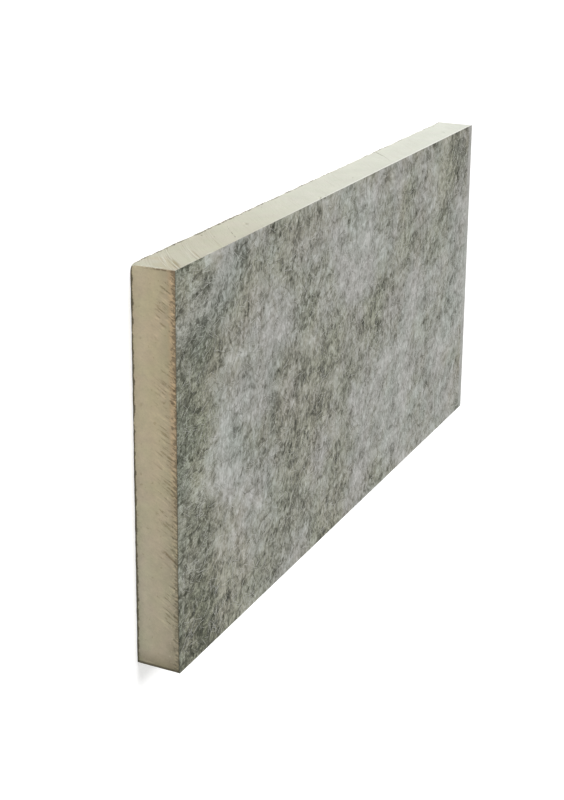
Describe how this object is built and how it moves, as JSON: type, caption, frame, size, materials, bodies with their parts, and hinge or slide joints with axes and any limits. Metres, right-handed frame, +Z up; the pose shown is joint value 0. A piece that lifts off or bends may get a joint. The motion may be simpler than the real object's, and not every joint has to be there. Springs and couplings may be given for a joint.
{
  "type": "polyiso insulation board",
  "caption": "Flat rectangular slab of rigid foam with a grey fleece facer on its upper face, a white coated facer on its underside and bare sawn edges; insulates a roof, wall or floor.",
  "frame": {"origin": "centre of the underside, on the floor that the board lies on", "axes": "+X along the length, +Y across the width, +Z up through the thickness, from the coated facer to the fleece facer"},
  "size_m": [1.2, 0.6, 0.07],
  "materials": {
    "foam": "matte sawn closed-cell polyisocyanurate foam, cream on the long edges and tan on the sawn ends",
    "grey_fleece": "matte mottled grey glass fleece with loose fibres bonded in bitumen",
    "white_coating": "matt warm-white mineral coating on glass tissue, printed with a plain pattern of red lozenges"
  },
  "bodies": {
    "root": {"foam_core": "foam", "fleece_facer": "grey_fleece", "coated_facer": "white_coating"}
  },
  "joints": []
}
